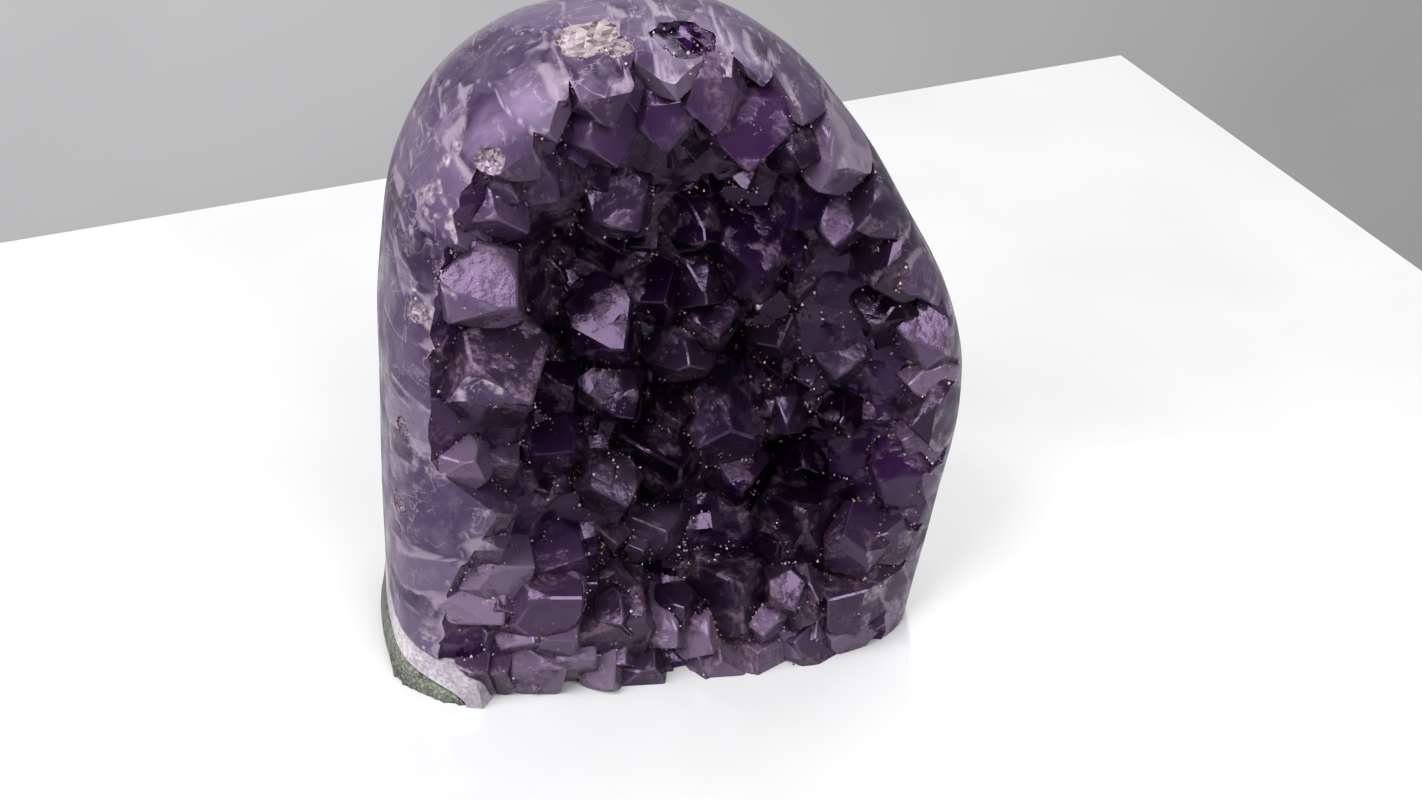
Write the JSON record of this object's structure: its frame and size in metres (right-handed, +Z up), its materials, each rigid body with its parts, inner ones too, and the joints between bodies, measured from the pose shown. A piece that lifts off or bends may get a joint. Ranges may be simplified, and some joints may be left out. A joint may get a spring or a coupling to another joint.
{
  "type": "amethyst cluster",
  "caption": "Upright amethyst cluster: a block cut from a geode wall, polished to a rounded pebble, with an open front hollow lined with crystal points, on a sawn flat base.",
  "frame": {"origin": "centre of the bounding box's footprint, on the sawn base", "axes": "+Z up, the crystals face -Y, +X to the right of a viewer who faces them"},
  "size_m": [0.0964, 0.0578, 0.1079],
  "materials": {
    "amethyst": "glassy violet quartz, polished at the sides and top, natural crystal faces in the hollow",
    "agate": "milky grey-white chalcedony, ground smooth",
    "basalt": "rough grey-green volcanic rock, matt, smooth where it was ground"
  },
  "bodies": {
    "root": {"amethyst_crystals": "amethyst", "agate_band": "agate", "basalt_rind": "basalt"}
  },
  "joints": []
}
